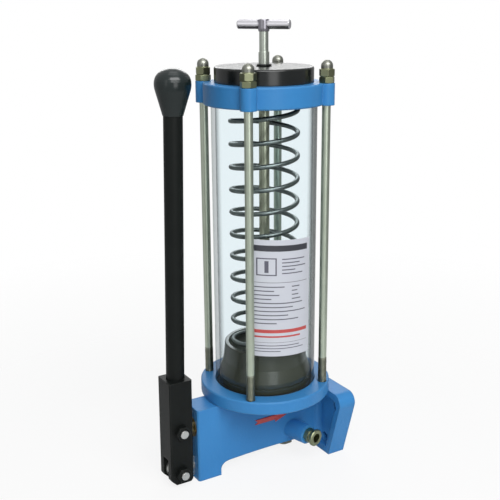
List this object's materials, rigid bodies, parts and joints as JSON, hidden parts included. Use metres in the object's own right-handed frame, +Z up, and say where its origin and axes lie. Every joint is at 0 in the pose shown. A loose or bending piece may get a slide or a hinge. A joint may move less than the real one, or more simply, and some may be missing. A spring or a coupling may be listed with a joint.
{
  "type": "manual grease pump",
  "caption": "Hand-lever grease pump with a clear spring-loaded follower reservoir on a cast base with mounting flange and side outlet.",
  "frame": {"origin": "on the ground, under the middle of the pump's bounding box", "axes": "+Z up the reservoir, +X from the lever to the mounting flange, -Y to the front with the outlet"},
  "size_m": [0.1876, 0.13, 0.441],
  "materials": {
    "blue_enamel": "gloss enamel on cast iron",
    "zinc_steel": "bright zinc plate",
    "bright_steel": "ground steel",
    "brass": "turned",
    "black_rubber": "matte",
    "black_paint": "satin black",
    "black_plastic": "moulded, glossy",
    "clear_tube": "clear acrylic",
    "yellow_zinc": "yellowish zinc plate",
    "chrome_bar": "bright chrome",
    "follower_grey": "dark olive grey",
    "spring_steel": "oiled spring wire"
  },
  "bodies": {
    "base": {"base_casting": "blue_enamel", "fulcrum_eye": "zinc_steel", "gland_nut": "brass", "gland_packing": "black_rubber", "reservoir_tube": "clear_tube", "lower_gasket": "black_rubber", "upper_gasket": "black_rubber", "top_ring": "blue_enamel", "tie_rod_rear_right": "yellow_zinc", "tie_rod_rear_left": "yellow_zinc", "tie_rod_front_left": "yellow_zinc", "tie_rod_front_right": "yellow_zinc", "rod_nuts": "yellow_zinc", "dome_nuts": "yellow_zinc", "top_cap": "black_plastic", "stem_bush": "black_plastic", "follower_spring": "spring_steel", "outlet_adaptor": "yellow_zinc", "check_spring": "spring_steel", "valve_plug": "yellow_zinc"},
    "lever": {"lever_socket": "black_paint", "pivot_bolt": "zinc_steel", "yoke_bolt": "zinc_steel", "lever_nuts": "black_paint", "lever_rod": "black_paint", "lever_knob": "black_plastic"},
    "plunger": {"plunger": "bright_steel"},
    "follower": {"follower_stem": "bright_steel", "t_bar": "chrome_bar", "follower_plate": "follower_grey", "follower_seal": "black_rubber", "follower_nut": "zinc_steel"},
    "check_ball": {"check_ball": "bright_steel"}
  },
  "joints": [
    {"name": "lever_swing", "type": "hinge", "parent": "base", "child": "lever", "pos_m": [-0.08173, 0, 0.014], "axis": [0, -1, 0], "range_deg": [0, 32]},
    {"name": "plunger_slide", "type": "slide", "parent": "base", "child": "plunger", "axis": [-1, 0, 0], "range_m": [0, 0.024]},
    {"name": "follower_lift", "type": "slide", "parent": "base", "child": "follower", "axis": [0, 0, 1], "range_m": [0, 0.2], "stiffness_N_per_m": 250, "springref_m": -0.12, "deforming": ["follower_spring"]},
    {"name": "ball_drop", "type": "slide", "parent": "base", "child": "check_ball", "axis": [0, 0, -1], "range_m": [0, 0.003], "stiffness_N_per_m": 300, "springref_m": -0.004, "deforming": ["check_spring"]}
  ],
  "couplings": [
    {"joint": "plunger_slide", "follows": "lever_swing", "m_per_rad": 0.0426}
  ]
}
